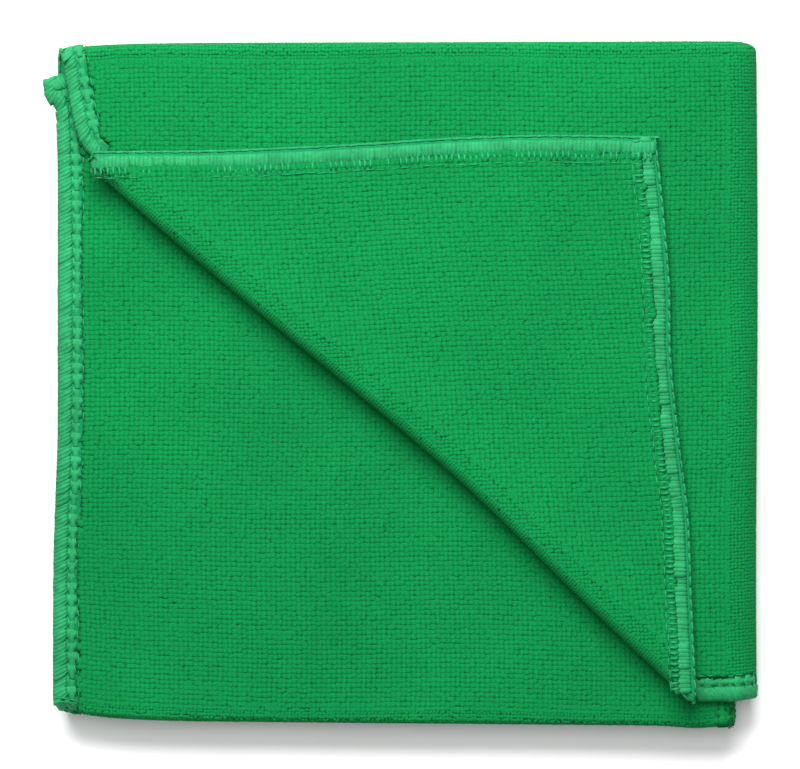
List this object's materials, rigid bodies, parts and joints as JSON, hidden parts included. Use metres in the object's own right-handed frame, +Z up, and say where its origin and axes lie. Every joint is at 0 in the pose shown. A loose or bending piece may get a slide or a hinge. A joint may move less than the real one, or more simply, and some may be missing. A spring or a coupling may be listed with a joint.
{
  "type": "folded microfibre cleaning cloth",
  "caption": "Green looped microfibre cleaning cloth with overlocked edges, folded into a flat pad with one corner turned back.",
  "frame": {"origin": "middle of the folded pad's bounding box, on its underside", "axes": "+X from the open side with the hems towards the half fold, +Y from the end hem towards the fold of the cover third, +Z up through the layers"},
  "size_m": [0.179, 0.17, 0.0151],
  "materials": {
    "microfibre_terry": "matte",
    "overlock_thread": "satin"
  },
  "bodies": {
    "lower_half": {"middle_leaf_lower": "microfibre_terry", "tucked_leaf_lower": "microfibre_terry", "cover_leaf_lower": "microfibre_terry", "middle_side_hem_lower": "overlock_thread", "tucked_side_hem_lower": "overlock_thread", "tucked_end_hem_lower": "overlock_thread", "cover_side_hem_lower": "overlock_thread", "cover_end_hem_lower": "overlock_thread", "cover_fold_lower": "microfibre_terry", "cover_fold_hem_lower": "overlock_thread", "tucked_fold_lower": "microfibre_terry", "tucked_fold_hem_lower": "overlock_thread", "half_fold_cover": "microfibre_terry", "half_fold_tucked": "microfibre_terry", "half_fold_middle": "microfibre_terry"},
    "upper_half": {"cover_leaf_upper": "microfibre_terry", "tucked_leaf_upper": "microfibre_terry", "middle_leaf_upper": "microfibre_terry", "cover_side_hem_upper": "overlock_thread", "cover_end_hem_upper": "overlock_thread", "tucked_side_hem_upper": "overlock_thread", "tucked_end_hem_upper": "overlock_thread", "tucked_hem_corner": "overlock_thread", "middle_side_hem_upper": "overlock_thread", "cover_fold_upper": "microfibre_terry", "cover_fold_hem_upper": "overlock_thread", "tucked_fold_upper": "microfibre_terry", "tucked_fold_hem_upper": "overlock_thread", "corner_crease": "microfibre_terry"},
    "corner": {"turned_corner": "microfibre_terry", "turned_side_hem": "overlock_thread", "turned_end_hem": "overlock_thread"}
  },
  "joints": [
    {"name": "half_fold", "type": "hinge", "parent": "lower_half", "child": "upper_half", "pos_m": [0.0815, 0, 0.00755], "axis": [0, 1, 0], "range_deg": [0, 180], "deforming": ["half_fold_cover", "half_fold_tucked", "half_fold_middle"]},
    {"name": "corner_fold", "type": "hinge", "parent": "upper_half", "child": "corner", "pos_m": [-0.0768, 0.0568, 0.01305], "axis": [0.7475, -0.6643, 0], "range_deg": [0, 180], "deforming": ["corner_crease"]}
  ]
}
